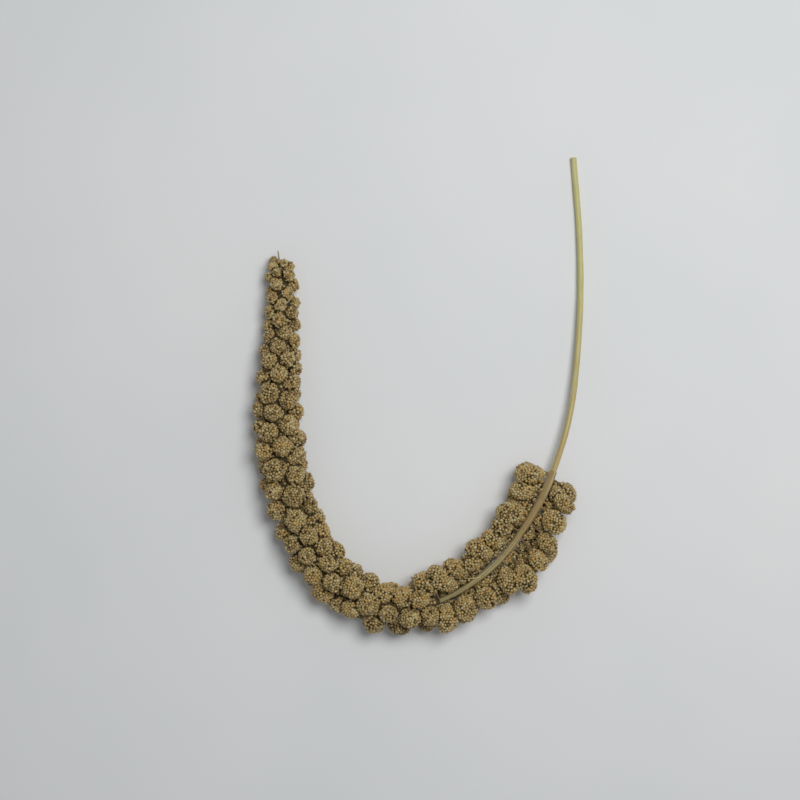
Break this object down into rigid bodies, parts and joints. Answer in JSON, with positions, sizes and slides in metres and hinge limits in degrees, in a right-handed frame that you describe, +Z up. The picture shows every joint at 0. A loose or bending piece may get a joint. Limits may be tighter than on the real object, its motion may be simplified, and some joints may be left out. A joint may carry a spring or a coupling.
{
  "type": "foxtail millet head",
  "caption": "Dried foxtail millet head: dense round balls of grain crowd a bent stalk that thins to a bare point, cut with a length of bare stem.",
  "frame": {"origin": "centre of the bounding box at its bottom, on the surface that the head lies on", "axes": "+X from the head's tip side across the bend to the stem's side, +Y towards the cut end of the stem, +Z up"},
  "size_m": [0.1944, 0.2807, 0.0296],
  "materials": {
    "stem": "dry straw, greenish yellow, slightly shiny along its ribs",
    "seed_head": "dry golden-tan grains with pale papery husks, satin"
  },
  "bodies": {
    "root": {"stem": "stem", "seed_head": "seed_head"}
  },
  "joints": []
}
